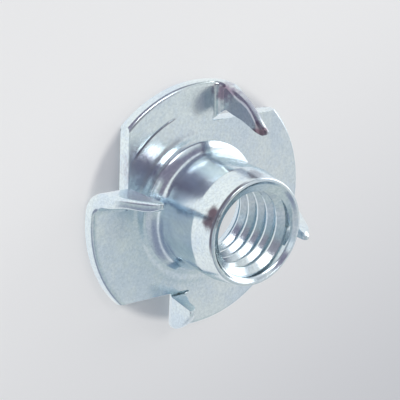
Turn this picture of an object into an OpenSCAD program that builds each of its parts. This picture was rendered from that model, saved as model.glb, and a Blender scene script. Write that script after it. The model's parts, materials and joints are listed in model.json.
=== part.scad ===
// Tee nut, short pattern, pressed from one piece of zinc plated steel.
// The barrel rises from a round flange whose rim is lanced at even steps, and each
// lanced corner is folded up into a prong that bites into the wood.
// The nut stands on the back of its flange, with the bore's axis along +Z.

/* [Flange] */
// Diameter over the flange, across the round parts of its rim
flange_d = 22; // [20:0.5:26]
// Thickness of the sheet
sheet_t = 1.3; // [1:0.05:1.6]
// Radius of the rounded edges along the rim
rim_round = 0.4; // [0.2:0.05:0.45]

/* [Barrel] */
// Outside diameter of the straight part of the barrel
barrel_d = 10; // [9.4:0.1:11]
// Height of the nut, from the back of the flange to the lip
nut_h = 9.1; // [8.8:0.1:12]
// Length of the tapered end of the barrel, lip included
taper_len = 2.3; // [1.5:0.1:3]
// Slope of the tapered end, from the barrel's axis
taper_angle = 9; // [4:0.5:12]
// Radius of the lip's outer edge
lip_round = 0.2; // [0.1:0.05:0.3]
// Width of the flat lip, between its round edge and the countersink
lip_w = 0.1; // [0.05:0.05:0.2]

/* [Foot of the barrel] */
// Radius of the fillet where it meets the barrel
fillet_r = 1.7; // [1.2:0.1:2]
// Distance from the barrel to the crease that the drawing die leaves at the fillet's edge
crease_w = 0.85; // [0.6:0.05:1]
// Radius of the shallow sweep that runs out on the flange
sweep_r = 3; // [2.5:0.1:4]
// How far the foot spreads beyond the barrel
foot_spread = 2.1; // [1.8:0.05:2.3]

/* [Bore] */
// Nominal diameter of the metric thread
thread_d = 8; // [7.5:0.1:8.2]
// Pitch of the thread
thread_pitch = 1.25; // [1:0.05:1.4]
// Length of the lead-in at the mouth, along which the thread's crests rise
lead_in = 1.3; // [0.8:0.1:1.8]
// How far the lead-in starts outside the thread's roots
entry_clearance = 0.1; // [0.05:0.01:0.15]
// Radius of the drawn funnel where the bore opens through the back of the flange
funnel_r = 3.4; // [2.6:0.1:3.6]

/* [Prongs] */
// Number of prongs
prong_count = 4; // [3:1:6]
// Direction of the first prong's slit from the axis, measured from +X
first_prong_angle = 29; // [0:1:90]
// Distance from the foot of the barrel to the slits
slit_clearance = 0.45; // [0.3:0.05:0.8]
// Width of the slit that frees a prong from the flange
slit_w = 0.12; // [0.08:0.01:0.2]
// Distance of the fold's start from the radius that is square to the slit
fold_offset = 0.9; // [0.6:0.1:1.5]
// Inside radius of the fold
fold_r = 0.8; // [0.5:0.05:1]
// Thickness of a prong above its fold, where the press has squeezed it
blade_t = 0.9; // [0.7:0.05:1.3]
// Radius of the blunted tip of a prong
tip_round = 0.35; // [0.25:0.05:0.45]

/* [Hidden] */
zinc = [0.75, 0.80, 0.83];

$fn = 144;
FOLD_STEPS = 12;
RIM_STEPS = 12;
TIP_STEPS = 5;
EDGE_STEPS = 4;
LAST_TIP_ANGLE = 78;
OVERSHOOT = 1;

flange_r = flange_d / 2;
barrel_r = barrel_d / 2;

// An internal metric thread is bored to its minor diameter
THREAD_DEPTH = 1.0825;
bore_r = (thread_d - THREAD_DEPTH * thread_pitch) / 2;
entry_r = thread_d / 2 + entry_clearance;

// The lip's round touches the taper and the top of the nut
taper_z = nut_h - taper_len;
lip_z = nut_h - lip_round;
lip_r = barrel_r - (lip_z - taper_z) * tan(taper_angle) - lip_round / cos(taper_angle);
countersink_r = lip_r - lip_w;
entry_z = nut_h - (countersink_r - entry_r);

// The sweep climbs from the flange to the crease, where the steeper fillet starts
foot_r = barrel_r + foot_spread;
crease_r = barrel_r + crease_w;
crease_z = sheet_t + sweep_r - sqrt(pow(sweep_r, 2) - pow(foot_r - crease_r, 2));
fillet_z = crease_z + sqrt(pow(fillet_r, 2) - pow(fillet_r - crease_w, 2));

// A prong stands as high as the rim beyond its fold is long, measured on the
// layer of the sheet that the fold neither stretches nor squeezes
NEUTRAL_LAYER = 0.45;
slit_x = foot_r + slit_clearance;
prong_x = slit_x + slit_w;
fold_len = PI / 2 * (fold_r + NEUTRAL_LAYER * sheet_t);

// Up to this share of its height the prong thins to the blade, and from the other one
// its nose runs out to the tip
THINNED_SHARE = 0.5;
NOSE_SHARE = 0.72;
NOSE_LEN = 0.3;

// The tip's round touches the prong's straight edge and its rim
tip_x = prong_x + tip_round;
tip_s = sqrt(pow(flange_r - tip_round, 2) - pow(tip_x, 2)) - fold_offset;
tip_angle = atan2(tip_s + fold_offset, tip_x);

module flange_outline() {
    flat_r = flange_r - rim_round;
    square([flat_r, sheet_t]);
    translate([0, rim_round]) square([flange_r, sheet_t - 2 * rim_round]);
    for (z = [rim_round, sheet_t - rim_round])
        translate([flat_r, z]) circle(rim_round);
}

module foot_outline() {
    difference() {
        square([foot_r, crease_z]);
        translate([foot_r, sheet_t + sweep_r]) circle(sweep_r);
    }
    difference() {
        square([crease_r, fillet_z]);
        translate([barrel_r + fillet_r, fillet_z]) circle(fillet_r);
    }
}

module barrel_outline() {
    polygon([
        [0, 0],
        [barrel_r, 0],
        [barrel_r, taper_z],
        [lip_r + lip_round * cos(taper_angle), lip_z + lip_round * sin(taper_angle)],
        [lip_r, nut_h],
        [0, nut_h]
    ]);
    translate([lip_r, lip_z]) circle(lip_round);
}

// A narrow countersink and the lead-in below it, then the bore and the funnel
module bore_outline() {
    translate([0, -OVERSHOOT]) square([bore_r, nut_h + 2 * OVERSHOOT]);
    polygon([
        [0, entry_z - lead_in],
        [bore_r, entry_z - lead_in],
        [entry_r, entry_z],
        [countersink_r + OVERSHOOT, nut_h + OVERSHOOT],
        [0, nut_h + OVERSHOOT]
    ]);
    difference() {
        translate([0, -OVERSHOOT]) square([bore_r + funnel_r, funnel_r + OVERSHOOT]);
        translate([bore_r + funnel_r, funnel_r]) circle(funnel_r);
    }
}

// A prong is a row of sections across the sheet, at distances s along it from the
// start of the fold. In a section x runs outwards, and w from the sheet's back.

function inner_x(s) =
    s <= tip_s ? prong_x : tip_x - sqrt(pow(tip_round, 2) - pow(s - tip_s, 2));

function outer_x(s, inset = 0) =
    s <= tip_s + tip_round * sin(tip_angle)
        ? sqrt(pow(flange_r - inset, 2) - pow(fold_offset + s, 2))
        : tip_x + sqrt(pow(tip_round, 2) - pow(s - tip_s, 2)) - inset / cos(tip_angle);

// Near the tip the rounded edges shrink to half the width that is left
function edge_inset(s, a) =
    min(rim_round, (outer_x(s) - inner_x(s)) / 2) * (1 - cos(a));

function eased(t) = let (u = min(t, 1)) u * u * (3 - 2 * u);

// The share of the sheet's thickness that a section keeps
function thickness_share(s) =
    let (share = max(s - fold_len, 0) / (tip_s + tip_round - fold_len))
    let (nose = max(share - NOSE_SHARE, 0) / NOSE_LEN)
    (1 - (1 - blade_t / sheet_t) * eased(share / THINNED_SHARE)) * sqrt(1 - pow(nose, 2));

function section(s) = concat(
    [[inner_x(s), sheet_t], [inner_x(s), 0]],
    [for (a = [90:-90 / EDGE_STEPS:0])
        [outer_x(s, edge_inset(s, a)), rim_round * (1 - sin(a))]],
    [for (a = [0:90 / EDGE_STEPS:90])
        [outer_x(s, edge_inset(s, a)), sheet_t - rim_round * (1 - sin(a))]]
);

// Puts a section's point in its place on the folded sheet
function folded(p, s) =
    let (a = 90 * min(s / fold_len, 1))
    let (r = fold_r + sheet_t - p.y * thickness_share(s))
    [
        p.x,
        -fold_offset - r * sin(a),
        sheet_t + fold_r - r * cos(a) + max(s - fold_len, 0)
    ];

module prong() {
    stations = concat(
        [for (i = [0:FOLD_STEPS]) fold_len * i / FOLD_STEPS],
        [for (i = [1:RIM_STEPS]) fold_len + (tip_s - fold_len) * i / RIM_STEPS],
        [for (i = [1:TIP_STEPS]) tip_s + tip_round * sin(LAST_TIP_ANGLE * i / TIP_STEPS)]
    );
    n = len(section(0));
    last = len(stations) - 1;
    polyhedron(
        points = [for (s = stations) for (p = section(s)) folded(p, s)],
        faces = concat(
            [[for (j = [0:n - 1]) j]],
            [for (i = [0:last - 1]) for (j = [0:n - 1])
                let (k = (j + 1) % n)
                [i * n + k, i * n + j, (i + 1) * n + j, (i + 1) * n + k]],
            [[for (j = [n - 1:-1:0]) last * n + j]]
        )
    );
}

// What is lanced out of the flange where a prong is folded up
module prong_gap() {
    translate([slit_x, -flange_r - OVERSHOOT, -OVERSHOOT])
        cube([flange_r, flange_r + OVERSHOOT - fold_offset, sheet_t + 2 * OVERSHOOT]);
}

module around_the_flange() {
    for (i = [0:prong_count - 1])
        rotate([0, 0, first_prong_angle + 360 * i / prong_count]) children();
}

module tee_nut() {
    color(zinc) {
        difference() {
            rotate_extrude() difference() {
                union() {
                    flange_outline();
                    foot_outline();
                    barrel_outline();
                }
                bore_outline();
            }
            around_the_flange() prong_gap();
        }
        around_the_flange() prong();
    }
}

tee_nut();
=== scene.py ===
"""Pressed tee nut for wood, with its thread and zinc plate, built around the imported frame.

The pressed body is one closed mesh: a ring of upright sections, each the same outline
of bore, barrel and flange with its own reach, and prongs that carry on from the rim.
The thread is a helix that Geometry Nodes sweeps along the wall of the bore.
"""

import json
import math

import bmesh
import bpy
import numpy as np
from bpy.props import FloatProperty, FloatVectorProperty, IntProperty, PointerProperty
from mathutils import Matrix, Vector, noise


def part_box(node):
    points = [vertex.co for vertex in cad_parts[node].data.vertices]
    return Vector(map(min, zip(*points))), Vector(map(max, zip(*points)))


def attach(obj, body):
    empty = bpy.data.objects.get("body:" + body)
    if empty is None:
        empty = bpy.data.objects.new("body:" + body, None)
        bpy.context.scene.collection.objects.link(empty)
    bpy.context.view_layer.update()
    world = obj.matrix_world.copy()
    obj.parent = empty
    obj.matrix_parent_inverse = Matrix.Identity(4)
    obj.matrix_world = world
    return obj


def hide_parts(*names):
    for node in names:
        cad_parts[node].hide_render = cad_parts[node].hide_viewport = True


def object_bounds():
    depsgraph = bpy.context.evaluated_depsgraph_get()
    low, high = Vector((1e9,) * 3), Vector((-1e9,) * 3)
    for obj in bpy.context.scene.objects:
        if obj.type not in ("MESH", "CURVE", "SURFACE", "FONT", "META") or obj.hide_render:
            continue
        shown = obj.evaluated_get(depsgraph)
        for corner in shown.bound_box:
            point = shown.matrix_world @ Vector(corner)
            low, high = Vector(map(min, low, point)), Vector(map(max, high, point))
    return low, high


bl_info = {
    "name": "Tee Nut",
    "version": (1, 0, 0),
    "blender": (4, 5, 0),
    "location": "3D View > Sidebar > Tee Nut",
    "description": "Builds a pressed tee nut, its thread, its zinc plate and a studio",
    "category": "Add Mesh",
}

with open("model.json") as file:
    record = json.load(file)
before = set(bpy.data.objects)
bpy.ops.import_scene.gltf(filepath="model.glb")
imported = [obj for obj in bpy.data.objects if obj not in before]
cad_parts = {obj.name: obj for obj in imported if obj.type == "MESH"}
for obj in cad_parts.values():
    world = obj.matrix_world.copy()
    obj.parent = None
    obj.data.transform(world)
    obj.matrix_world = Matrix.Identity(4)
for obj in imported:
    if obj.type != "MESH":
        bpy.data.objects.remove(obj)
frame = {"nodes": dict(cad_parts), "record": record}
CAD_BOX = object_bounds()
NODE = "tee_nut"
BODY = "root"
MM = 0.001

MOUNTS = {mount["name"]: mount for mount in frame["record"]["mounts"]}
FLANGE_R = max(math.hypot(v.co.x, v.co.y) for v in frame["nodes"][NODE].data.vertices)
NUT_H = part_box(NODE)[1].z
SHEET_T = MOUNTS["flange_front"]["pos_m"][2]
BARREL_R = MOUNTS["barrel_seat"]["dims"]["r_mm"] * MM
MINOR_R = MOUNTS["thread"]["dims"]["r_mm"] * MM


# ----- Sizes and colours that a user can change -----


def length(name, description, default):
    return FloatProperty(
        name=name, description=description, default=default, min=0.0,
        subtype="DISTANCE", unit="LENGTH", precision=5,
    )


def angle(name, description, degrees):
    return FloatProperty(
        name=name, description=description, default=math.radians(degrees), subtype="ANGLE"
    )


def share(name, description, default):
    return FloatProperty(
        name=name, description=description, default=default, min=0.0, max=1.0, subtype="FACTOR"
    )


def colour(name, description, default):
    return FloatVectorProperty(
        name=name, description=description, default=default, size=3,
        min=0.0, max=1.0, subtype="COLOR",
    )


class TeeNutPressing(bpy.types.PropertyGroup):
    """Sizes of the pressed and drawn body"""

    flange_r: length("Flange Radius", "Radius of the flange's rim", FLANGE_R)
    sheet_t: length("Sheet", "Thickness of the flange and prongs", SHEET_T)
    rim_round: length("Rim Round", "Radius of the rim's edges", 0.4 * MM)
    shear_round: length("Shear Round", "Radius of the edges that were sheared", 0.08 * MM)
    nut_h: length("Height", "From the flange's back to the lip", NUT_H)
    barrel_r: length("Barrel Radius", "Radius of the barrel's straight part", BARREL_R)
    taper_len: length("Taper", "Length of the barrel's tapered end", 2.3 * MM)
    taper_angle: angle("Taper Angle", "Slope of the tapered end", 9)
    lip_round: length("Lip Round", "Radius of the lip's outer edge", 0.2 * MM)
    lip_w: length("Lip", "Flat width of the lip", 0.1 * MM)
    fillet_r: length("Fillet", "Radius of the fillet at the barrel's foot", 1.7 * MM)
    crease_w: length("Crease", "Distance from the barrel to the crease", 0.85 * MM)
    sweep_r: length("Sweep", "Radius of the sweep onto the flange", 3.0 * MM)
    foot_spread: length("Foot", "How far the foot spreads past the barrel", 2.1 * MM)
    funnel_r: length("Funnel", "Radius of the funnel in the flange's back", 3.4 * MM)
    slit_gap: length("Slit Clearance", "From the barrel's foot to the slits", 0.45 * MM)
    slit_w: length("Slit", "Width of the slit beside a prong", 0.12 * MM)
    fold_offset: length("Fold Offset", "Where the fold starts, off the radius", 0.9 * MM)
    fold_r: length("Fold Radius", "Inside radius of the fold", 0.8 * MM)
    tip_round: length("Tip", "Radius of a prong's blunted tip", 0.35 * MM)
    blade_t: length("Blade", "Thickness of a prong above its fold", 0.9 * MM)
    waviness: length("Waviness", "Depth of the unevenness that pressing leaves", 0.012 * MM)
    prongs: IntProperty(name="Prongs", description="Number of prongs", default=4, min=2, max=6)
    first_prong: angle("First Prong", "Direction of the first slit from +X", 29)


class TeeNutThread(bpy.types.PropertyGroup):
    """Sizes of the internal metric thread"""

    major_r: length("Major Radius", "Radius at the roots of the thread", 4.0 * MM)
    minor_r: length("Minor Radius", "Radius at the crests of the thread", MINOR_R)
    pitch: length("Pitch", "Distance between turns", 1.25 * MM)
    crest_z: length("Crest Height", "Height of a crest on the +Y side", 3.25 * MM)
    lead_in: length("Lead-in", "Length along which the crests rise", 0.45 * MM)
    entry_clearance: length("Entry", "From the roots to the lead-in's start", 0.1 * MM)


class TeeNutPlating(bpy.types.PropertyGroup):
    """Colours and finish of the zinc plate"""

    bright: colour("Bright", "Colour of the plate", (0.83, 0.92, 0.94))
    tint: colour("Tint", "What the passivation's blush leaves of it", (0.90, 0.93, 1.0))
    dull: colour("Dull", "What the fine grain leaves of it", (0.62, 0.66, 0.70))
    grain: share("Grain", "Strength of the fine grain", 0.38)
    roughness: share("Roughness", "Roughness of the plate", 0.18)


class TeeNutStudio(bpy.types.PropertyGroup):
    """Camera, floor and room"""

    azimuth: angle("Azimuth", "Direction of the camera from +X", -89.8)
    elevation: angle("Elevation", "Height of the camera", 48.73)
    roll: angle("Roll", "Turn of the camera about its own axis", 114.88)
    distance: length("Distance", "From the camera to its target", 121.4 * MM)
    lens: FloatProperty(name="Lens", description="Focal length in mm", default=127.1, min=1.0)
    floor: colour("Floor", "Colour of the floor's lit side", (0.98, 0.98, 0.98))
    floor_far: colour("Floor Far", "Colour of the floor's far side", (0.66, 0.67, 0.70))
    room: colour("Room", "Colour of the room", (0.54, 0.58, 0.59))


# ----- The pressed body -----


def arc(cx, cz, r, start, end, steps):
    """Points on an arc between two angles in degrees, both ends included."""
    return [
        (cx + r * math.cos(math.radians(a)), cz + r * math.sin(math.radians(a)))
        for a in np.linspace(start, end, steps + 1)
    ]


def between(a, b, steps):
    """Points on the straight line between two points, without its ends."""
    return [
        (a[0] + (b[0] - a[0]) * i / steps, a[1] + (b[1] - a[1]) * i / steps)
        for i in range(1, steps)
    ]


def smooth(x):
    """A smooth step from 0 to 1."""
    x = min(max(x, 0.0), 1.0)
    return x * x * (3 - 2 * x)


class Section:
    """The upright section through the nut, from the countersink round to the bore."""

    EDGE_STEPS = 6
    FRONT_RINGS_MM = (
        7.35, 7.7, 8.05, 8.4, 8.58, 8.65, 8.7, 8.75, 8.82, 9.1, 9.5, 9.9, 10.25, 10.5,
    )
    BACK_RINGS_MM = (10.3, 9.6, 8.8, 8.0, 7.2, 6.5)
    CREASE_HALF = 0.06 * MM
    BESIDE_CREASE = 1.6
    BUNCH = 0.02 * MM
    COUNTERSINK = 45
    MOUTH_ROUND = 0.04 * MM
    TAPER_BLEND = 1.5 * MM

    def __init__(self, s, thread):
        self.s = s
        taper = math.degrees(s.taper_angle)
        taper_z = s.nut_h - s.taper_len
        lip_z = s.nut_h - s.lip_round
        lip_r = s.barrel_r - (lip_z - taper_z) * math.tan(s.taper_angle)
        lip_r -= s.lip_round / math.cos(s.taper_angle)
        mouth_r = lip_r - s.lip_w
        root_r = thread.major_r
        entry_r = root_r + thread.entry_clearance
        entry_z = s.nut_h - (mouth_r - entry_r)
        slope = thread.lead_in / (entry_r - thread.minor_r)
        foot_r = s.barrel_r + s.foot_spread
        crease_r = s.barrel_r + s.crease_w
        sweep_z = s.sheet_t + s.sweep_r
        crease_z = sweep_z - math.sqrt(s.sweep_r**2 - (foot_r - crease_r) ** 2)
        fillet_z = crease_z + math.sqrt(s.fillet_r**2 - (s.fillet_r - s.crease_w) ** 2)
        self.entry = (entry_r, entry_z)
        self.crease = (crease_r, crease_z)
        self.funnel_axis = MINOR_R + s.funnel_r

        # Over the lip and down the barrel's taper
        root = (root_r, entry_z - slope * thread.entry_clearance)
        mouth = arc(
            mouth_r + self.MOUTH_ROUND * math.tan(math.radians(self.COUNTERSINK / 2)),
            s.nut_h - self.MOUTH_ROUND, self.MOUTH_ROUND, 90 + self.COUNTERSINK, 90, 3,
        )
        lip = arc(lip_r, lip_z, s.lip_round, 90, taper, 8)
        shoulder = arc(
            s.barrel_r - self.TAPER_BLEND,
            taper_z - self.TAPER_BLEND * math.tan(s.taper_angle / 2),
            self.TAPER_BLEND, taper, 0, 4,
        )
        upper = [root, self.entry] + between(self.entry, mouth[0], 3) + mouth + lip
        upper += between(lip[-1], shoulder[0], 6) + shoulder

        # Down the fillet to the crease and out along the sweep
        half = math.degrees(self.CREASE_HALF / s.fillet_r)
        fillet_end = 180 + math.degrees(math.acos((s.fillet_r - s.crease_w) / s.fillet_r))
        fillet_x = s.barrel_r + s.fillet_r
        before = fillet_end - self.BESIDE_CREASE * half
        fillet = arc(fillet_x, fillet_z, s.fillet_r, 180, before, 14)
        groove = arc(fillet_x, fillet_z, s.fillet_r, fillet_end - half, fillet_end, 2)
        half = math.degrees(self.CREASE_HALF / s.sweep_r)
        sweep_start = 270 - math.degrees(math.asin((foot_r - crease_r) / s.sweep_r))
        groove += arc(foot_r, sweep_z, s.sweep_r, sweep_start, sweep_start + half, 2)[1:]
        beyond = sweep_start + self.BESIDE_CREASE * half
        sweep = arc(foot_r, sweep_z, s.sweep_r, beyond, 270, 10)
        self.inner = upper + between(shoulder[-1], fillet[0], 12) + fillet + groove + sweep

        # Up the funnel and the wall of the bore to the countersink
        end = math.degrees(math.acos((self.funnel_axis - root_r) / s.funnel_r))
        funnel = arc(self.funnel_axis, s.funnel_r, s.funnel_r, 270, 180 + end, 14)
        self.bore = funnel + between(funnel[-1], root, 8)

    def edge(self, reach, inset, drop):
        """The flange's edge, front to back: points of radius and height."""
        turns = [math.radians(90 * i / self.EDGE_STEPS) for i in range(self.EDGE_STEPS + 1)]
        t = self.s.sheet_t
        front = [
            (reach - inset * (1 - math.sin(a)), t - drop * (1 - math.cos(a))) for a in turns
        ]
        return front + [(r, t - z) for r, z in reversed(front)]

    def at(self, reach, inset, drop):
        """The closed section whose flange has this reach."""
        flat = reach - inset
        rings = len(self.FRONT_RINGS_MM)
        front = [
            (min(r * MM, flat - (rings - i) * self.BUNCH), self.s.sheet_t)
            for i, r in enumerate(self.FRONT_RINGS_MM)
        ]
        back = [
            (min(r * MM, flat - (i + 1) * self.BUNCH), 0.0)
            for i, r in enumerate(self.BACK_RINGS_MM)
        ]
        return self.inner + front + self.edge(reach, inset, drop) + back + self.bore

    @property
    def edge_span(self):
        """Where the edge's points lie in a section."""
        start = len(self.inner) + len(self.FRONT_RINGS_MM)
        return start, start + 2 * (self.EDGE_STEPS + 1) - 1


class Outline:
    """The flange's outline between one slit and the next, as a row of stations.

    A station is (turn, reach, inset, drop, plane): plane is None where the section
    stands along the radius, or else gives the turn of an edge point by its radius.
    """

    RIM_STEP = math.radians(1.5)
    CHORD_STEPS = 13
    FOLD_COLUMNS_MM = (8.0, 8.4, 8.8, 9.2, 9.6, 10.0, 10.3)
    CHORD_START = 0.45 * MM

    def __init__(self, s):
        self.s = s
        self.step = 2 * math.pi / s.prongs
        self.slit_x = s.barrel_r + s.foot_spread + s.slit_gap
        self.prong_x = self.slit_x + s.slit_w
        self.columns = [self.prong_x] + [x * MM for x in self.FOLD_COLUMNS_MM]

    def on_fold(self, r):
        return -math.asin(self.s.fold_offset / r)

    def on_slit(self, r):
        return self.step - math.acos(self.slit_x / r)

    def stations(self):
        s = self.s
        flat = s.flange_r - s.rim_round
        rim = (s.flange_r, s.rim_round, s.rim_round)
        rows = []
        for x in [self.slit_x] + self.columns:
            reach = math.hypot(x, s.fold_offset)
            rows.append((math.atan2(-s.fold_offset, x), reach, 0.0, 0.0, None))
        rows.append((self.on_fold(flat), *rim, self.on_fold))

        start, end = self.on_fold(s.flange_r), self.on_slit(s.flange_r)
        count = round((end - start) / self.RIM_STEP)
        for i in range(1, count):
            rows.append((start + (end - start) * i / count, *rim, None))
        rows.append((self.on_slit(flat), *rim, self.on_slit))

        start = self.on_slit(s.flange_r - self.CHORD_START)
        end = self.step + math.atan2(-s.fold_offset, self.slit_x)
        for i in range(self.CHORD_STEPS):
            turn = start + (end - start) * i / self.CHORD_STEPS
            across = math.cos(self.step - turn)
            rows.append((turn, self.slit_x / across, s.shear_round / across, s.shear_round, None))
        return rows

    @property
    def fold_span(self):
        """The stations between which the prong carries on from the flange."""
        return 1, 1 + len(self.columns)


class Prong:
    """A prong in its flat pattern: x across it, s along it and w from the sheet's back.

    Its bend says how far the tip leans outwards, how much shorter the prong stands,
    and how far the sheared edge is drawn outwards above the fold.
    """

    FOLD_STEPS = 14
    BLADE_STEPS = 14
    TIP_ROWS = 3
    SHEAR_START = 0.3 * MM
    NOTCH_REACH = 1.8 * MM
    NEUTRAL_LAYER = 0.45
    THINNED_SHARE = 0.5
    NOSE_SHARE = 0.72
    NOSE_LEN = 0.3
    TIP_SHEAR_RATE = 1.3

    def __init__(self, s, outline, section, bend):
        self.s = s
        self.lean, self.short, self.notch = bend
        self.prong_x = outline.prong_x
        self.columns = outline.columns
        self.section = section
        self.fold_len = math.pi / 2 * (s.fold_r + self.NEUTRAL_LAYER * s.sheet_t)
        self.tip_x = self.prong_x + s.tip_round
        reach = math.sqrt((s.flange_r - s.tip_round) ** 2 - self.tip_x**2)
        self.tip_s = reach - s.fold_offset
        self.tip_turn = math.atan2(reach, self.tip_x)

    def folded(self, x, along, w):
        s = self.s
        turn = math.pi / 2 * min(along / self.fold_len, 1)
        rise = max(along - self.fold_len, 0)
        share = rise / (self.tip_s + s.tip_round - self.fold_len)
        w *= 1 - (1 - s.blade_t / s.sheet_t) * smooth(share / self.THINNED_SHARE)
        w *= math.sqrt(1 - (max(share - self.NOSE_SHARE, 0) / self.NOSE_LEN) ** 2)
        r = s.fold_r + s.sheet_t - w
        rise -= share * self.short
        inner = max(1 - (x - self.prong_x) / self.NOTCH_REACH, 0)
        x += self.lean * share
        x += self.notch * inner * smooth(along / self.fold_len) * (1 - share)
        y = -s.fold_offset - r * math.sin(turn)
        return Vector((x, y, s.sheet_t + s.fold_r - r * math.cos(turn) + rise))

    def rim_x(self, along, inset):
        return math.sqrt((self.s.flange_r - inset) ** 2 - (self.s.fold_offset + along) ** 2)

    def row(self, along):
        """A closed row across the prong, from its front round its two edges."""
        t = self.s.sheet_t
        shear = self.s.shear_round * smooth(along / self.SHEAR_START)
        across = self.across(along)
        sheared = [(self.prong_x - r, z) for r, z in reversed(self.section.edge(0, shear, shear))]
        points = [(x, t) for x in across] + self.rim(along)
        points += [(x, 0.0) for x in reversed(across)] + sheared[1:-1]
        return [self.folded(x, along, w) for x, w in points]

    def tip_outline(self):
        """Points and outward directions round the tip, from the rim to the sheared edge."""
        s = self.s
        count = len(self.columns)
        start = math.atan2(s.fold_offset + self.tip_s, self.rim_x(self.tip_s, 0))
        along_rim = (self.tip_turn - start) * s.flange_r
        total = along_rim + (math.pi - self.tip_turn) * s.tip_round
        for i in range(count + 1):
            way = total * i / count
            if way < along_rim:
                turn = start + way / s.flange_r
                centre, r = Vector((0, -s.fold_offset)), s.flange_r
            else:
                turn = self.tip_turn + (way - along_rim) / s.tip_round
                centre, r = Vector((self.tip_x, self.tip_s)), s.tip_round
            out = Vector((math.cos(turn), math.sin(turn)))
            yield i / count, centre + r * out, out

    def across(self, along):
        """The x of the row's columns on the flat of its front."""
        shear = self.s.shear_round * smooth(along / self.SHEAR_START)
        inner, outer = self.prong_x + shear, self.rim_x(along, self.s.rim_round)
        first, last = self.columns[0], self.rim_x(0, self.s.rim_round)
        return [inner + (outer - inner) * (x - first) / (last - first) for x in self.columns]

    def rim(self, along):
        """The rim's round edge, from front to back."""
        e = self.s.rim_round
        return [(self.rim_x(along, -r), z) for r, z in self.section.edge(0, e, e)]

    def tip(self):
        """Rows of points over the tip: each runs over its front, edge and back."""
        s = self.s
        bases = self.across(self.tip_s) + [self.rim_x(self.tip_s, s.rim_round)]
        rows = []
        for base_x, (part, point, out) in zip(reversed(bases), self.tip_outline()):
            sheared = smooth(part * self.TIP_SHEAR_RATE)
            rounded = s.rim_round + (s.shear_round - s.rim_round) * sheared
            edge = [(point + r * out, z) for r, z in self.section.edge(0, rounded, rounded)]
            if part == 0:
                edge = [(Vector((x, self.tip_s)), z) for x, z in self.rim(self.tip_s)]
            base, flat = Vector((base_x, self.tip_s)), edge[0][0]
            over = [base.lerp(flat, i / (self.TIP_ROWS + 1)) for i in range(self.TIP_ROWS + 1)]
            row = [(p, s.sheet_t) for p in over] + edge + [(p, 0.0) for p in reversed(over)]
            rows.append([self.folded(p.x, p.y, w) for p, w in row])
        return rows

    def rows(self):
        bend = [self.fold_len * i / self.FOLD_STEPS for i in range(self.FOLD_STEPS)]
        blade = [
            self.fold_len + (self.tip_s - self.fold_len) * i / self.BLADE_STEPS
            for i in range(self.BLADE_STEPS + 1)
        ]
        return [self.row(along) for along in bend + blade]


class Sheet:
    """Points and faces of the body, gathered row by row."""

    def __init__(self):
        self.points = []
        self.faces = []

    def add(self, rows, closed=True, joined=False, holes=()):
        """Adds rows of points and the faces between them, except over the holes."""
        start = len(self.points)
        width = len(rows[0])
        for row in rows:
            self.points.extend(row)
        for i in range(len(rows) if joined else len(rows) - 1):
            for j in range(width if closed else width - 1):
                if any(a <= i < b and c <= j < d for a, b, c, d in holes):
                    continue
                here, there = start + i * width, start + (i + 1) % len(rows) * width
                k = (j + 1) % width
                self.faces.append((here + j, here + k, there + k, there + j))


# How each prong came out of the press: its tip's outward lean, its shortfall and how
# far the sheared edge was drawn outwards
BENDS_MM = ((0.3, 2.0, 0.0), (0.0, 0.0, 0.0), (-0.6, 0.1, 0.8), (-0.3, 0.0, 0.0))


def pressed_points(s, thread):
    """The whole body as a Sheet: the ring of sections, and the prongs that join it."""
    section = Section(s, thread)
    outline = Outline(s)
    sheet = Sheet()
    ring, holes = [], []
    edge_start, edge_end = section.edge_span
    stations = outline.stations()
    fold_start, fold_end = outline.fold_span
    for k in range(s.prongs):
        lobe = s.first_prong + k * outline.step
        first = len(ring)
        holes.append((first + fold_start, first + fold_end, edge_start, edge_end))
        for turn, reach, inset, drop, plane in stations:
            row = []
            for j, (r, z) in enumerate(section.at(reach, inset, drop)):
                on_edge = plane and edge_start <= j <= edge_end
                a = lobe + (plane(r) if on_edge else turn)
                row.append(Vector((r * math.cos(a), r * math.sin(a), z)))
            ring.append(row)
        spin = Matrix.Rotation(lobe, 3, "Z")
        prong = Prong(s, outline, section, [x * MM for x in BENDS_MM[k % len(BENDS_MM)]])
        sheet.add([[spin @ p for p in row] for row in prong.rows()])
        sheet.add([[spin @ p for p in row] for row in prong.tip()], closed=False)
    sheet.add(ring, joined=True, holes=holes)
    return sheet, section


DOUBLE = 0.0004 * MM


def merged_mesh(name, sheet):
    """A closed mesh with its doubles merged and its faces outwards."""
    mesh = bpy.data.meshes.new(name)
    mesh.from_pydata(sheet.points, [], sheet.faces)
    bm = bmesh.new()
    bm.from_mesh(mesh)
    bmesh.ops.remove_doubles(bm, verts=bm.verts, dist=DOUBLE)
    bmesh.ops.recalc_face_normals(bm, faces=bm.faces)
    open_edges = sum(1 for e in bm.edges if len(e.link_faces) != 2)
    if open_edges:
        raise RuntimeError(f"{name} has {open_edges} edges that don't join two faces")
    bm.to_mesh(mesh)
    bm.free()
    return mesh


# Marks of the press: their start, end and fade in degrees round the nut, their depth in mm
PRESS_MARK = (-128.0, -101.0, 6.0, 0.03)
CREASE_MARK = (-160.0, -80.0, 20.0, 0.035)
PRESS_MARK_R_MM = 8.7
PRESS_MARK_HALF_MM = 0.06
# The share of its depth that the crease keeps all round
CREASE_LEAST = 0.25
# A point this near to the sheet's front lies on it
ON_SHEET = 0.001 * MM


def window(azimuth, start, end, fade):
    """1 between two azimuths in degrees, fading to 0 outside them."""
    middle, half = (start + end) / 2, (end - start) / 2
    away = abs((azimuth - middle + 180) % 360 - 180)
    return smooth((half + fade - away) / fade)


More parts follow.
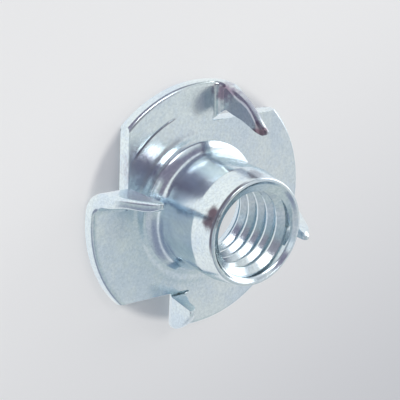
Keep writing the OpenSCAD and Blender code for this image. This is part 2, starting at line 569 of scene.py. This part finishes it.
def press_marks(mesh, section):
    """Sinks the crease and a press mark a few hundredths of a millimetre into the sheet."""
    crease_r, crease_z = section.crease
    for v in mesh.vertices:
        r = math.hypot(v.co.x, v.co.y)
        azimuth = math.degrees(math.atan2(v.co.y, v.co.x))
        if abs(v.co.z - section.s.sheet_t) < ON_SHEET:
            *place, depth = PRESS_MARK
            near = max(0.0, 1 - abs(r / MM - PRESS_MARK_R_MM) / PRESS_MARK_HALF_MM)
            v.co.z -= depth * MM * near * window(azimuth, *place)
        off = math.hypot(r - crease_r, v.co.z - crease_z)
        if off < section.CREASE_HALF:
            *place, depth = CREASE_MARK
            near = 1 - off / section.CREASE_HALF
            kept = CREASE_LEAST + (1 - CREASE_LEAST) * window(azimuth, *place)
            v.co.z -= depth * MM * near * kept


# The unevenness: a slow wave and a quicker, shallower one, by their fineness per mm, and
# the level above which nothing sinks
SLOW_WAVE = 0.45
QUICK_WAVE = 1.1
QUICK_PLACE = Vector((7, 3, 1))
WAVE_TOP = 0.7
# It fades out towards the bore and the flange's back, which keep their true shape
MOUTH_SIDE_MM = 4.4
MOUTH_FADE_MM = 0.2
BACK_FADE_MM = 0.3


def uneven(mesh, depth):
    """Sinks the surface by the slow unevenness of pressed sheet, but not the flange's back,
    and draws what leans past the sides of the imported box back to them."""
    low, high = CAD_BOX
    normals = [v.normal.copy() for v in mesh.vertices]
    for v, normal in zip(mesh.vertices, normals):
        p = v.co / MM
        wave = noise.noise(p * SLOW_WAVE) + 0.5 * noise.noise(p * QUICK_WAVE + QUICK_PLACE)
        kept = smooth((math.hypot(p.x, p.y) - MOUTH_SIDE_MM) / MOUTH_FADE_MM)
        v.co += normal * depth * min(wave - WAVE_TOP, 0) * kept * smooth(p.z / BACK_FADE_MM)
        v.co.x = min(max(v.co.x, low[0]), high[0])
        v.co.y = min(max(v.co.y, low[1]), high[1])


# The front of the flange sweeps up towards the foot, from this radius, by so much
DISH_R_MM = 10.2
DISH_MM = 0.24
DISH_FADE_MM = 0.9


def dish(mesh, section):
    """Raises the front of the flange towards the crease, where it falls into a shallow trough."""
    crease = section.crease[0] / MM
    for v in mesh.vertices:
        r = math.hypot(v.co.x, v.co.y) / MM
        if crease < r < DISH_R_MM:
            lift = DISH_MM * ((DISH_R_MM - r) / (DISH_R_MM - crease)) ** 2
            lift *= smooth((r - crease) / DISH_FADE_MM) * smooth(v.co.z / section.s.sheet_t)
            v.co.z += lift * MM


def finished(obj):
    """Puts a piece in the scene and on its body."""
    bpy.context.scene.collection.objects.link(obj)
    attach(obj, BODY)
    return obj


class TEENUT_OT_pressed_body(bpy.types.Operator):
    """Press the flange and barrel and fold up the prongs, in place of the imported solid"""

    bl_idname = "teenut.pressed_body"
    bl_label = "Pressed Body"

    SHARP = math.radians(40)

    def execute(self, context):
        s = context.scene.teenut_pressing
        sheet, section = pressed_points(s, context.scene.teenut_thread)
        mesh = merged_mesh("tee_nut_body", sheet)
        press_marks(mesh, section)
        dish(mesh, section)
        uneven(mesh, s.waviness)
        mesh.shade_smooth()
        mesh.set_sharp_from_angle(angle=self.SHARP)
        mesh.materials.append(plated_zinc(context))
        body = finished(bpy.data.objects.new("tee_nut_body", mesh))
        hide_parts(NODE)
        return {"FINISHED"}


# ----- The thread -----


class Tree:
    """A short way to place nodes and join them in a node tree."""

    def __init__(self, tree):
        self.tree = tree

    def node(self, kind, settings=None, **inputs):
        node = self.tree.nodes.new(kind)
        for name, value in (settings or {}).items():
            setattr(node, name, value)
        for name, value in inputs.items():
            self.plug(value, node.inputs[name.replace("_", " ")])
        return node

    def plug(self, value, socket):
        if isinstance(value, bpy.types.NodeSocket):
            self.tree.links.new(value, socket)
        else:
            socket.default_value = value

    def math(self, operation, *values):
        node = self.tree.nodes.new("ShaderNodeMath")
        node.operation = operation
        for value, socket in zip(values, node.inputs):
            self.plug(value, socket)
        return node.outputs[0]

    def axes(self, vector):
        return self.node("ShaderNodeSeparateXYZ", Vector=vector).outputs

    def speckle(self, vector, scale, detail, roughness=0.5):
        return self.node(
            "ShaderNodeTexNoise", Vector=vector, Scale=scale, Detail=detail, Roughness=roughness
        ).outputs["Fac"]

    def hypot(self, a, b):
        squares = [self.math("POWER", side, 2.0) for side in (a, b)]
        return self.math("SQRT", self.math("ADD", *squares))

    def ramp(self, value, start, end, low, high, kind="LINEAR"):
        """Low up to the start, high from the end on, and a slope or smooth step between."""
        return self.node(
            "ShaderNodeMapRange", {"interpolation_type": kind}, Value=value,
            From_Min=start, From_Max=end, To_Min=low, To_Max=high,
        ).outputs["Result"]

    def eased(self, value, start, end, low, high):
        return self.ramp(value, start, end, low, high, "SMOOTHSTEP")

    def laid_over(self, mask, tone, over, blend="MIX"):
        """The tone with another colour over it, as far as the mask lets it."""
        mix = self.node("ShaderNodeMix", {"data_type": "RGBA", "blend_type": blend})
        for name, value in (("Factor", mask), ("A", tone), ("B", (*over, 1))):
            self.plug(value, mix.inputs[name])
        return mix.outputs["Result"]


TURN_STEPS = 96
# The ridge ends no lower than this share of the funnel's radius
LOWEST_SHARE = 0.25


def thread_tree(sizes):
    """A helical ridge, trimmed by the lead-in above and the funnel below, of these sizes."""
    group = bpy.data.node_groups.new("Internal Thread", "GeometryNodeTree")
    for name in sizes:
        group.interface.new_socket(name, in_out="INPUT", socket_type="NodeSocketFloat")
    group.interface.new_socket("Finish", in_out="INPUT", socket_type="NodeSocketMaterial")
    group.interface.new_socket("Geometry", in_out="OUTPUT", socket_type="NodeSocketGeometry")
    t = Tree(group)
    size = group.nodes.new("NodeGroupInput").outputs

    # The ridge's trapezoid stands on the root radius and is turned to point at the axis
    root_r = t.math("ADD", size["Major Radius"], size["Embed"])
    depth = t.math("SUBTRACT", root_r, size["Minor Radius"])
    flat = t.node(
        "GeometryNodeCurvePrimitiveQuadrilateral", {"mode": "TRAPEZOID"},
        Height=depth, Bottom_Width=size["Root Width"], Top_Width=size["Crest Width"], Offset=0.0,
    )
    soft = t.node(
        "GeometryNodeFilletCurve", {"mode": "POLY"},
        Curve=flat.outputs["Curve"], Radius=size["Crest Round"], Limit_Radius=True, Count=3,
    )
    turned = t.node(
        "GeometryNodeTransform", Geometry=soft.outputs["Curve"], Rotation=(0, 0, -math.pi / 2)
    )
    middle_r = t.math("SUBTRACT", root_r, t.math("DIVIDE", depth, 2.0))

    # The helix climbs to the left as it is seen from inside, as a right-hand thread does
    rise = t.math("SUBTRACT", size["Top"], size["Bottom"])
    helix = t.node(
        "GeometryNodeCurveSpiral", Resolution=TURN_STEPS,
        Rotations=t.math("DIVIDE", rise, size["Pitch"]),
        Start_Radius=middle_r, End_Radius=middle_r, Height=rise,
    )
    upright = t.node(
        "GeometryNodeSetCurveNormal", {"mode": "Z_UP"}, Curve=helix.outputs["Curve"]
    )
    ridge = t.node(
        "GeometryNodeCurveToMesh",
        Curve=upright.outputs["Curve"], Profile_Curve=turned.outputs["Geometry"], Fill_Caps=True,
    )
    start = t.node("ShaderNodeCombineXYZ", Z=size["Bottom"])
    lifted = t.node(
        "GeometryNodeTransform",
        Geometry=ridge.outputs["Mesh"], Translation=start.outputs["Vector"],
    )

    # Past the lead-in and the funnel the ridge sinks into the metal
    place = t.node("GeometryNodeInputPosition").outputs["Position"]
    axes = t.axes(place)
    z = t.math("MINIMUM", axes["Z"], size["Entry Height"])
    z = t.math("MAXIMUM", z, t.math("MULTIPLY", size["Funnel Radius"], LOWEST_SHARE))
    below = t.math("SUBTRACT", size["Entry Height"], z)
    sunk_r = t.math("ADD", size["Entry Radius"], size["Embed"])
    slope = t.math("DIVIDE", t.math("SUBTRACT", sunk_r, size["Minor Radius"]), size["Lead In"])
    cone = t.math("SUBTRACT", sunk_r, t.math("MULTIPLY", below, slope))
    drop = t.math("MAXIMUM", t.math("SUBTRACT", size["Funnel Radius"], z), 0.0)
    chord = t.math(
        "SUBTRACT", t.math("POWER", size["Funnel Radius"], 2.0), t.math("POWER", drop, 2.0)
    )
    funnel = t.math("SUBTRACT", size["Funnel Axis"], t.math("SQRT", chord))
    wall = t.math("MAXIMUM", cone, t.math("ADD", funnel, size["Embed"]))
    r = t.hypot(axes["X"], axes["Y"])
    out = t.math("DIVIDE", t.math("MAXIMUM", r, wall), r)
    moved = t.node(
        "ShaderNodeCombineXYZ",
        X=t.math("MULTIPLY", axes["X"], out), Y=t.math("MULTIPLY", axes["Y"], out), Z=z,
    )
    trimmed = t.node(
        "GeometryNodeSetPosition",
        Geometry=lifted.outputs["Geometry"], Position=moved.outputs["Vector"],
    )
    whole = t.node("GeometryNodeRealizeInstances", Geometry=trimmed.outputs["Geometry"])
    plated = t.node(
        "GeometryNodeSetMaterial",
        Geometry=whole.outputs["Geometry"], Material=size["Finish"],
    )
    output = group.nodes.new("NodeGroupOutput")
    t.plug(plated.outputs["Geometry"], output.inputs["Geometry"])
    return group


def grown_mesh(name, group, inputs):
    """The plain mesh that a Geometry Nodes group gives for these inputs."""
    seed = bpy.data.objects.new(name, bpy.data.meshes.new(name))
    bpy.context.scene.collection.objects.link(seed)
    grow = seed.modifiers.new(name, "NODES")
    grow.node_group = group
    for item in group.interface.items_tree:
        if item.in_out == "INPUT" and item.name in inputs:
            grow[item.identifier] = inputs[item.name]
    depsgraph = bpy.context.evaluated_depsgraph_get()
    mesh = bpy.data.meshes.new_from_object(seed.evaluated_get(depsgraph))
    bpy.data.objects.remove(seed)
    if not mesh.polygons:
        raise RuntimeError(f"{name} came out empty")
    return mesh


class TEENUT_OT_thread(bpy.types.Operator):
    """Cut the internal thread, as a ridge on the wall of the bore"""

    bl_idname = "teenut.thread"
    bl_label = "Thread"

    ROOT_SHARE = 7 / 8
    CREST_SHARE = 1 / 10
    CREST_ROUND = 0.06 * MM
    EMBED = 0.03 * MM
    SHARP = math.radians(12)

    def execute(self, context):
        s = context.scene.teenut_pressing
        thread = context.scene.teenut_thread
        section = Section(s, thread)

        # The spiral starts on +X, a quarter turn before the crest height is measured
        top_turn = int((s.nut_h - thread.crest_z) / thread.pitch)
        bottom_turn = int(thread.crest_z / thread.pitch)
        at_start = thread.crest_z - thread.pitch / 4
        sizes = {
            "Major Radius": thread.major_r,
            "Minor Radius": thread.minor_r,
            "Pitch": thread.pitch,
            "Bottom": at_start - bottom_turn * thread.pitch,
            "Top": at_start + (top_turn + 0.75) * thread.pitch,
            "Root Width": self.ROOT_SHARE * thread.pitch,
            "Crest Width": self.CREST_SHARE * thread.pitch,
            "Crest Round": self.CREST_ROUND,
            "Entry Radius": section.entry[0],
            "Entry Height": section.entry[1],
            "Lead In": thread.lead_in,
            "Funnel Axis": section.funnel_axis,
            "Funnel Radius": s.funnel_r,
            "Embed": self.EMBED,
        }
        inputs = {**sizes, "Finish": plated_zinc(context)}
        mesh = grown_mesh("tee_nut_thread", thread_tree(sizes), inputs)
        bm = bmesh.new()
        bm.from_mesh(mesh)
        bmesh.ops.recalc_face_normals(bm, faces=bm.faces)
        bm.to_mesh(mesh)
        bm.free()
        mesh.shade_smooth()
        mesh.set_sharp_from_angle(angle=self.SHARP)
        ridge = finished(bpy.data.objects.new("tee_nut_thread", mesh))
        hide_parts(NODE)
        return {"FINISHED"}


# ----- The zinc plate -----


def new_group(name, inputs, outputs):
    """A shader node group with these sockets, as a Tree and its two ends."""
    group = bpy.data.node_groups.new(name, "ShaderNodeTree")
    for socket, kind in inputs.items():
        group.interface.new_socket(socket, in_out="INPUT", socket_type=kind)
    for socket, kind in outputs.items():
        group.interface.new_socket(socket, in_out="OUTPUT", socket_type=kind)
    start = group.nodes.new("NodeGroupInput").outputs
    end = group.nodes.new("NodeGroupOutput").inputs
    return Tree(group), start, end


def mottle_group():
    """Slow blotches with fine grain over them, as a value about 0.5."""
    t, start, end = new_group(
        "Mottle",
        {"Vector": "NodeSocketVector", "Blotch per m": "NodeSocketFloat",
         "Grain per m": "NodeSocketFloat", "Grain Share": "NodeSocketFloat"},
        {"Value": "NodeSocketFloat"},
    )
    blotch = t.speckle(start["Vector"], start["Blotch per m"], 2.0, 0.45)
    grain = t.speckle(start["Vector"], start["Grain per m"], 3.0, 0.6)
    both = t.node(
        "ShaderNodeMix", {"data_type": "FLOAT"}, Factor=start["Grain Share"], A=blotch, B=grain
    )
    t.plug(both.outputs["Result"], end["Value"])
    return t.tree


# How far a patch's edge wanders, against its fade
RAGGEDNESS = 1.6
# The shares of a line's width and of its half turn that keep its full strength
LINE_CORE = 0.3
LINE_MIDDLE = 0.6


def dark_patch_group():
    """A ragged spot about a centre, as a mask."""
    t, start, end = new_group(
        "Stain",
        {"Vector": "NodeSocketVector", "Centre": "NodeSocketVector",
         "Radius": "NodeSocketFloat", "Fade": "NodeSocketFloat"},
        {"Mask": "NodeSocketFloat"},
    )
    off = t.node("ShaderNodeVectorMath", {"operation": "DISTANCE"})
    t.plug(start["Vector"], off.inputs[0])
    t.plug(start["Centre"], off.inputs[1])
    rough = t.speckle(start["Vector"], 1500.0, 3.0)
    ragged = t.math("MULTIPLY", t.math("SUBTRACT", rough, 0.5), start["Fade"])
    reach = t.math("ADD", off.outputs["Value"], t.math("MULTIPLY", ragged, RAGGEDNESS))
    faded = t.math("ADD", start["Radius"], start["Fade"])
    t.plug(t.eased(reach, start["Radius"], faded, 1.0, 0.0), end["Mask"])
    return t.tree


def arc_group():
    """A line round the axis, at this radius and height and over these azimuths, as a mask."""
    names = ("Radius", "Height", "Width", "Azimuth", "Half Turn")
    t, start, end = new_group(
        "Arc Line", {"Vector": "NodeSocketVector", **{name: "NodeSocketFloat" for name in names}},
        {"Mask": "NodeSocketFloat"},
    )
    axes = t.axes(start["Vector"])
    aside = t.math("SUBTRACT", t.hypot(axes["X"], axes["Y"]), start["Radius"])
    above = t.math("SUBTRACT", axes["Z"], start["Height"])
    core = t.math("MULTIPLY", start["Width"], LINE_CORE)
    line = t.eased(t.hypot(aside, above), core, start["Width"], 1.0, 0.0)
    azimuth = t.math("ARCTAN2", axes["Y"], axes["X"])
    turn = t.math("WRAP", t.math("SUBTRACT", azimuth, start["Azimuth"]), math.pi, -math.pi)
    middle = t.math("MULTIPLY", start["Half Turn"], LINE_MIDDLE)
    ends = t.eased(t.math("ABSOLUTE", turn), middle, start["Half Turn"], 1.0, 0.0)
    t.plug(t.math("MULTIPLY", line, ends), end["Mask"])
    return t.tree


# Dark patches laid on the plate: the first four are dark spots on the taper by the lip, the next
# four are painted dark reflection on the flange beside the barrel and on one prong, and the last
# is a faint, slightly darker patch on the flange. Columns: the centre, the radius and the fade in
# mm, the strength, the colour
DARK_SPOTS_AND_PAINTED_REFLECTIONS = (
    ((0.15, -4.70, 8.45), 0.30, 0.60, 1.0, (0.17, 0.13, 0.16)),
    ((0.85, -4.62, 8.45), 0.30, 0.65, 1.0, (0.17, 0.14, 0.17)),
    ((-4.30, -2.05, 8.15), 0.30, 0.70, 0.75, (0.40, 0.43, 0.48)),
    ((-3.90, -2.70, 8.45), 0.10, 0.45, 0.60, (0.46, 0.50, 0.54)),
    ((-0.85, -7.45, 1.40), 0.70, 1.50, 0.60, (0.40, 0.36, 0.46)),
    ((-9.55, -3.36, 1.94), 0.35, 0.90, 0.80, (0.30, 0.18, 0.28)),
    ((-8.50, -2.45, 3.70), 1.20, 1.40, 0.60, (0.36, 0.33, 0.42)),
    ((-7.50, -1.75, 6.00), 0.40, 0.70, 0.90, (0.20, 0.11, 0.15)),
    ((4.60, -7.30, 1.32), 0.40, 1.60, 0.20, (0.50, 0.56, 0.64)),
)
# Painted shade in the press mark's groove and in the crease, and a painted dark reflection on the
# lip's round edge. Columns: the radius, the height, the width in mm, the middle and the half turn
# in degrees, the strength, the colour
PAINTED_SHADE_LINES = (
    (8.70, 1.30, 0.16, -114, 19, 0.75, (0.26, 0.27, 0.33)),
    (4.67, 8.90, 0.17, -92, 52, 1.0, (0.16, 0.16, 0.20)),
    (5.86, 1.62, 0.12, -118, 40, 0.45, (0.34, 0.34, 0.40)),
)


def with_spots_and_painted_shade(t, place, tone):
    """The colour with the dark spots, the painted dark reflections and the painted shade lines
    laid over it.
    """
    patch, line = dark_patch_group(), arc_group()
    layers = []
    for centre, radius, fade, strength, patch_tone in DARK_SPOTS_AND_PAINTED_REFLECTIONS:
        spot = t.node(
            "ShaderNodeGroup", {"node_tree": patch}, Vector=place,
            Centre=[x * MM for x in centre], Radius=radius * MM, Fade=fade * MM,
        )
        layers.append((spot, strength, patch_tone))
    for radius, height, width, azimuth, half_turn, strength, shade_line_tone in PAINTED_SHADE_LINES:
        arc_line = t.node(
            "ShaderNodeGroup", {"node_tree": line}, Vector=place,
            Radius=radius * MM, Height=height * MM, Width=width * MM,
            Azimuth=math.radians(azimuth), Half_Turn=math.radians(half_turn),
        )
        layers.append((arc_line, strength, shade_line_tone))
    for layer, strength, layer_tone in layers:
        mask = t.math("MULTIPLY", layer.outputs["Mask"], strength)
        tone = t.laid_over(mask, tone, layer_tone)
    return tone


def plated_zinc(context):
    """Bright zinc plate with a bluish passivation: one material for body and thread."""
    if "zinc_plate" in bpy.data.materials:
        return bpy.data.materials["zinc_plate"]
    s = context.scene.teenut_plating
    material = bpy.data.materials.new("zinc_plate")
    material.use_nodes = True
    t = Tree(material.node_tree)
    principled = material.node_tree.nodes["Principled BSDF"]
    principled.inputs["Metallic"].default_value = 1.0
    place = t.node("ShaderNodeTexCoord").outputs["Object"]

    # Slow blotches of the blush, then fine grain that darkens it
    mottle = t.node(
        "ShaderNodeGroup", {"node_tree": mottle_group()}, Vector=place,
        Blotch_per_m=330.0, Grain_per_m=2600.0, Grain_Share=0.35,
    )
    blush = t.ramp(mottle.outputs["Value"], 0.42, 0.60, 0.0, 1.0)
    grain = t.speckle(place, 4200.0, 4.0, 0.7)
    shade = t.ramp(grain, 0.35, 0.62, s.grain, 0.0)
    # Dark spots, painted dark reflections and painted shade lines over the plate's colour
    tone = with_spots_and_painted_shade(t, place, (*s.bright, 1))
    for mask, layer_tone in ((blush, s.tint), (shade, s.dull)):
        tone = t.laid_over(mask, tone, layer_tone, "MULTIPLY")
    t.plug(tone, principled.inputs["Base Color"])

    polished, worn = s.roughness * 0.8, s.roughness * 1.25
    rough = t.ramp(mottle.outputs["Value"], 0.3, 0.7, polished, worn)
    t.plug(rough, principled.inputs["Roughness"])

    peel = t.speckle(place, 3600.0, 3.0, 0.6)
    bump = t.node("ShaderNodeBump", Strength=0.16, Distance=0.02 * MM, Height=peel)
    t.plug(bump.outputs["Normal"], principled.inputs["Normal"])
    return material


# ----- The studio -----


LAMP_DISTANCE = 0.4


def facing(azimuth, elevation, roll, distance):
    """The place at this distance in this direction that looks back, turned about its axis."""
    turn = Matrix.Rotation(azimuth + math.pi / 2, 4, "Z")
    tilt = Matrix.Rotation(math.pi / 2 - elevation, 4, "X")
    return turn @ tilt @ Matrix.Rotation(roll, 4, "Z") @ Matrix.Translation((0, 0, distance))


def soft_lamp(name, place, size, radiance, tone):
    """A rectangular area light that faces the nut, at arm's length."""
    lamp = bpy.data.lights.new(name, "AREA")
    lamp.shape = "RECTANGLE"
    lamp.size, lamp.size_y = size
    lamp.energy = radiance * math.pi * size[0] * size[1]
    lamp.color = tone
    light = bpy.data.objects.new(name, lamp)
    light.matrix_world = facing(*map(math.radians, place), LAMP_DISTANCE)
    bpy.context.scene.collection.objects.link(light)


# The lamps: azimuth, elevation and roll in degrees, then the size in m, radiance and colour
LAMPS = {
    "window": ((140, 4, -20), (0.33, 0.45), 1.6, (1.0, 0.95, 0.92)),
    "softbox": ((200, 54, 0), (0.17, 0.062), 5.0, (1.0, 0.96, 0.94)),
}

# The room round the nut, as panels with soft edges: the azimuth and elevation of the middle,
# the half width, the half height and the fade, all in degrees, then the colour
ROOM = (
    (185, 46, 26, 18, 16, (0.74, 0.75, 0.76)),
    (100, 36, 24, 14, 16, (0.72, 0.72, 0.73)),
    (120, 60, 34, 9, 12, (0.84, 0.84, 0.84)),
    (185, 79, 100, 17, 14, (0.26, 0.25, 0.29)),
    (325, 62, 58, 14, 12, (0.34, 0.41, 0.45)),
    (235, 6, 56, 22, 18, (0.26, 0.24, 0.31)),
    (236, 42, 24, 22, 12, (0.24, 0.22, 0.30)),
    (275, 49, 14, 6, 8, (0.95, 0.97, 1.0)),
    (352, 8, 34, 24, 20, (0.30, 0.32, 0.40)),
    (325, 46, 30, 14, 16, (0.56, 0.57, 0.60)),
)


def panel_group():
    """A panel of the room with soft edges, as a mask over directions."""
    names = ("Azimuth", "Elevation", "Middle Azimuth", "Middle Elevation", "Half Width",
             "Half Height", "Fade")
    t, start, end = new_group(
        "Room Panel", {name: "NodeSocketFloat" for name in names}, {"Mask": "NodeSocketFloat"}
    )
    turn = t.math("SUBTRACT", start["Azimuth"], start["Middle Azimuth"])
    climb = t.math("SUBTRACT", start["Elevation"], start["Middle Elevation"])
    ways = (
        (t.math("WRAP", turn, math.pi, -math.pi), start["Half Width"]),
        (climb, start["Half Height"]),
    )
    half_fade = t.math("DIVIDE", start["Fade"], 2.0)
    sides = [
        t.eased(
            t.math("ABSOLUTE", way), t.math("SUBTRACT", half, half_fade),
            t.math("ADD", half, half_fade), 1.0, 0.0,
        )
        for way, half in ways
    ]
    t.plug(t.math("MULTIPLY", *sides), end["Mask"])
    return t.tree


def studio_world(s):
    """A plain pale room with the darker and lighter panels round it."""
    world = bpy.data.worlds.new("studio")
    world.use_nodes = True
    t = Tree(world.node_tree)
    way = t.node("ShaderNodeTexCoord").outputs["Generated"]
    axes = t.axes(way)
    azimuth = t.math("ARCTAN2", axes["Y"], axes["X"])
    elevation = t.math("ARCSINE", axes["Z"])
    group = panel_group()
    tone = (*s.room, 1)
    for *place, panel_tone in ROOM:
        panel = t.node("ShaderNodeGroup", {"node_tree": group})
        sizes = [math.radians(degrees) for degrees in place]
        for value, socket in zip([azimuth, elevation] + sizes, panel.inputs):
            t.plug(value, socket)
        tone = t.laid_over(panel.outputs["Mask"], tone, panel_tone)
    t.plug(tone, world.node_tree.nodes["Background"].inputs["Color"])
    return world


# The floor's tone falls off in this direction, between these distances along it: a painted
# falloff of light, darker towards the far side
FLOOR_TURN = math.radians(50)
FLOOR_FALL = (-15 * MM, 45 * MM)
# The share of the floor's tone that glows for the camera, except in a ring under the flange,
# whose inner and outer edge each have a start and an end radius and the values there
PALE_SHARE = 0.52
MATT_RING = ((6.0 * MM, 7.0 * MM, 0.0, 1.0), (10.2 * MM, 11.2 * MM, 1.0, 0.0))


def floor_material(s):
    """Matt paper, with a glow that only the camera and what the metal mirrors can see."""
    material = bpy.data.materials.new("studio_floor")
    material.use_nodes = True
    t = Tree(material.node_tree)
    principled = material.node_tree.nodes["Principled BSDF"]
    principled.inputs["Roughness"].default_value = 0.9
    place = t.node("ShaderNodeTexCoord").outputs["Object"]
    axes = t.axes(place)
    along = t.math("MULTIPLY", axes["X"], math.cos(FLOOR_TURN))
    along = t.math("ADD", along, t.math("MULTIPLY", axes["Y"], math.sin(FLOOR_TURN)))
    fall = t.eased(along, *FLOOR_FALL, 0.0, 1.0)
    tone = t.laid_over(fall, (*s.floor, 1), s.floor_far)
    t.plug(tone, principled.inputs["Base Color"])
    glow = t.node("ShaderNodeEmission", Color=tone, Strength=1.0)

    off = t.node("ShaderNodeVectorMath", {"operation": "LENGTH"}, Vector=place).outputs["Value"]
    matt = PALE_SHARE
    for step in MATT_RING:
        matt = t.math("MULTIPLY", matt, t.eased(off, *step))
    rays = t.node("ShaderNodeLightPath").outputs
    seen = t.math("MULTIPLY", rays["Is Camera Ray"], t.math("SUBTRACT", PALE_SHARE, matt))
    mirrored = t.math("MAXIMUM", rays["Is Glossy Ray"], rays["Is Transmission Ray"])
    mix = t.node("ShaderNodeMixShader")
    t.plug(t.math("MAXIMUM", seen, mirrored), mix.inputs[0])
    t.plug(principled.outputs["BSDF"], mix.inputs[1])
    t.plug(glow.outputs["Emission"], mix.inputs[2])
    t.plug(mix.outputs["Shader"], material.node_tree.nodes["Material Output"].inputs["Surface"])
    return material


class TEENUT_OT_studio(bpy.types.Operator):
    """Set up the floor, the soft lights and the camera"""

    bl_idname = "teenut.studio"
    bl_label = "Studio"

    FLOOR_HALF = 1.0
    TARGET_MM = (-0.471, -0.082, 1.06)

    def execute(self, context):
        scene = context.scene
        s = scene.teenut_studio
        mesh = bpy.data.meshes.new("floor")
        h = self.FLOOR_HALF
        mesh.from_pydata([(-h, -h, 0), (h, -h, 0), (h, h, 0), (-h, h, 0)], [], [(0, 1, 2, 3)])
        mesh.materials.append(floor_material(s))
        floor = bpy.data.objects.new("floor", mesh)
        scene.collection.objects.link(floor)

        scene.world = studio_world(s)
        for name, settings in LAMPS.items():
            soft_lamp(name, *settings)

        lens = bpy.data.cameras.new("camera")
        lens.lens = s.lens
        lens.clip_start = 1 * MM
        camera = bpy.data.objects.new("camera", lens)
        aim = Matrix.Translation(Vector(self.TARGET_MM) * MM)
        camera.matrix_world = aim @ facing(s.azimuth, s.elevation, s.roll, s.distance)
        scene.collection.objects.link(camera)
        scene.camera = camera
        scene.view_settings.view_transform = "Standard"
        return {"FINISHED"}


# ----- The add-on -----


class TEENUT_PT_panel(bpy.types.Panel):
    """Sizes, finish and the steps that build the tee nut"""

    bl_idname = "TEENUT_PT_panel"
    bl_label = "Tee Nut"
    bl_space_type = "VIEW_3D"
    bl_region_type = "UI"
    bl_category = "Tee Nut"

    def draw(self, context):
        for group, operators in STEPS:
            box = self.layout.box()
            settings = getattr(context.scene, group)
            for name in settings.bl_rna.properties.keys():
                if name not in ("rna_type", "name"):
                    box.prop(settings, name)
            for operator in operators:
                box.operator(operator.bl_idname)


GROUPS = {
    "teenut_pressing": TeeNutPressing,
    "teenut_thread": TeeNutThread,
    "teenut_plating": TeeNutPlating,
    "teenut_studio": TeeNutStudio,
}
STEPS = (
    ("teenut_plating", ()),
    ("teenut_pressing", (TEENUT_OT_pressed_body,)),
    ("teenut_thread", (TEENUT_OT_thread,)),
    ("teenut_studio", (TEENUT_OT_studio,)),
)
OPERATORS = (TEENUT_OT_pressed_body, TEENUT_OT_thread, TEENUT_OT_studio)


def register():
    for cls in (*GROUPS.values(), *OPERATORS, TEENUT_PT_panel):
        bpy.utils.register_class(cls)
    for name, group in GROUPS.items():
        setattr(bpy.types.Scene, name, PointerProperty(type=group))


def unregister():
    for name in GROUPS:
        delattr(bpy.types.Scene, name)
    for cls in (TEENUT_PT_panel, *reversed(OPERATORS), *reversed(GROUPS.values())):
        bpy.utils.unregister_class(cls)


def main():
    register()
    bpy.ops.teenut.pressed_body()
    bpy.ops.teenut.thread()
    bpy.ops.teenut.studio()


if __name__ == "__main__":
    main()
